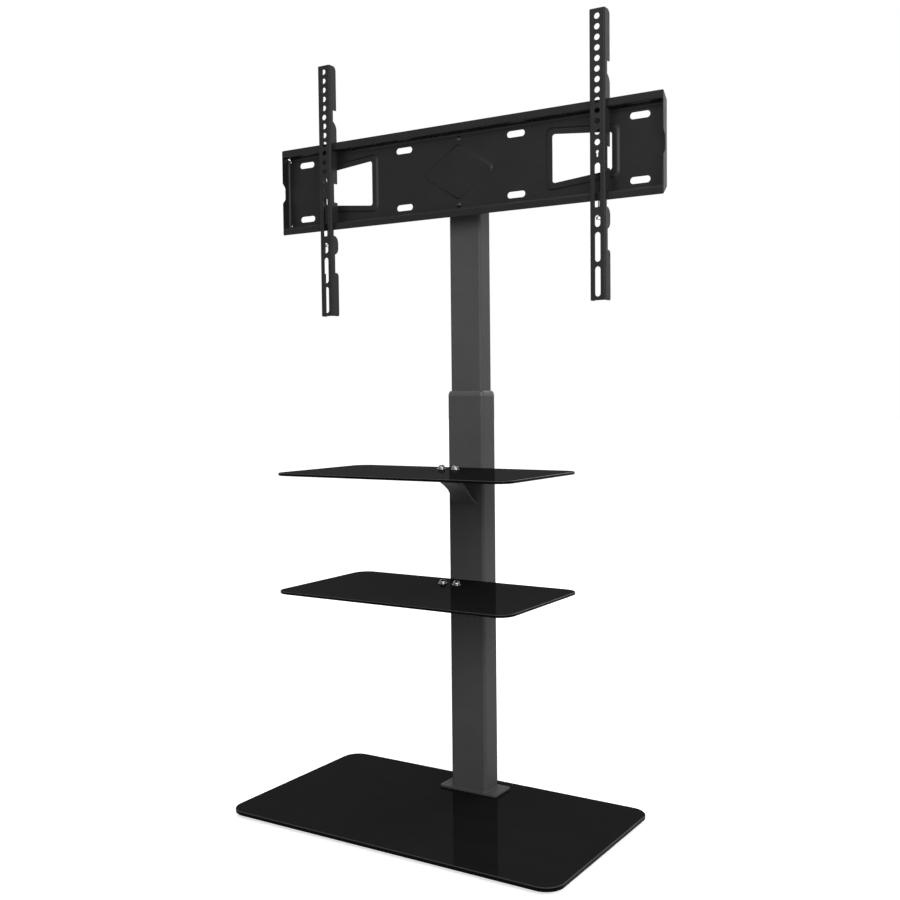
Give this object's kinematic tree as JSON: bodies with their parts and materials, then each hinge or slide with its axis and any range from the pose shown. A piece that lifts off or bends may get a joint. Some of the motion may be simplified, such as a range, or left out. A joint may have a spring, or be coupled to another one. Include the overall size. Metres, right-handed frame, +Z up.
{
  "type": "tv floor stand",
  "caption": "Floor stand for a television: glass base, telescopic steel column, glass shelves and a swivelling slotted mount plate with sliding hook bars.",
  "frame": {"origin": "on the floor, under the middle of the glass base", "axes": "+Z up, the screen side and the shelves face -Y, +X to the right when seen from the screen side"},
  "size_m": [0.848, 0.4, 1.4765],
  "materials": {
    "black_glass": "polished black tempered glass",
    "column_paint": "fine matt powder coat, dark grey",
    "mount_paint": "fine satin powder coat, near black",
    "black_steel": "satin powder coat, near black",
    "bright_fasteners": "bright zinc plated",
    "black_fasteners": "black oxide",
    "guide_plastic": "moulded nylon",
    "disc_plastic": "low-friction plastic",
    "pad_rubber": "matt rubber"
  },
  "bodies": {
    "stand": {"foot_pads": "pad_rubber", "base_glass": "black_glass", "under_plate": "black_steel", "under_gasket": "pad_rubber", "base_bolts": "bright_fasteners", "foot_gasket": "pad_rubber", "foot_flange": "column_paint", "foot_nuts": "bright_fasteners", "outer_tube": "column_paint", "top_collar": "guide_plastic", "clamp_plate": "column_paint", "clamp_screws": "bright_fasteners", "bracket_lower": "column_paint", "bracket_upper": "column_paint", "shelf_pad_lower": "pad_rubber", "shelf_pad_upper": "pad_rubber", "shelf_lower": "black_glass", "shelf_upper": "black_glass", "shelf_screws": "bright_fasteners", "shelf_nuts": "bright_fasteners"},
    "mast": {"inner_tube": "column_paint", "bottom_glide": "guide_plastic", "tube_cap": "black_steel", "friction_disc": "disc_plastic", "pivot_bolt": "bright_fasteners", "pivot_nut": "bright_fasteners"},
    "head": {"swivel_bracket": "black_steel", "mount_plate": "mount_paint", "plate_screws": "black_fasteners", "plate_nuts": "bright_fasteners"},
    "bar_left": {"hook_bar_left": "mount_paint", "lock_screw_left": "bright_fasteners"},
    "bar_right": {"hook_bar_right": "mount_paint", "lock_screw_right": "bright_fasteners"}
  },
  "joints": [
    {"name": "column_height", "type": "slide", "parent": "stand", "child": "mast", "axis": [0, 0, 1], "range_m": [-0.2, 0.1]},
    {"name": "head_swivel", "type": "hinge", "parent": "mast", "child": "head", "pos_m": [0, 0.1375, 1.245], "axis": [0, 0, 1], "range_deg": [-20, 20]},
    {"name": "bar_left_slide", "type": "slide", "parent": "head", "child": "bar_left", "axis": [1, 0, 0], "range_m": [-0.09, 0.2]},
    {"name": "bar_right_slide", "type": "slide", "parent": "head", "child": "bar_right", "axis": [1, 0, 0], "range_m": [-0.2, 0.09]}
  ]
}
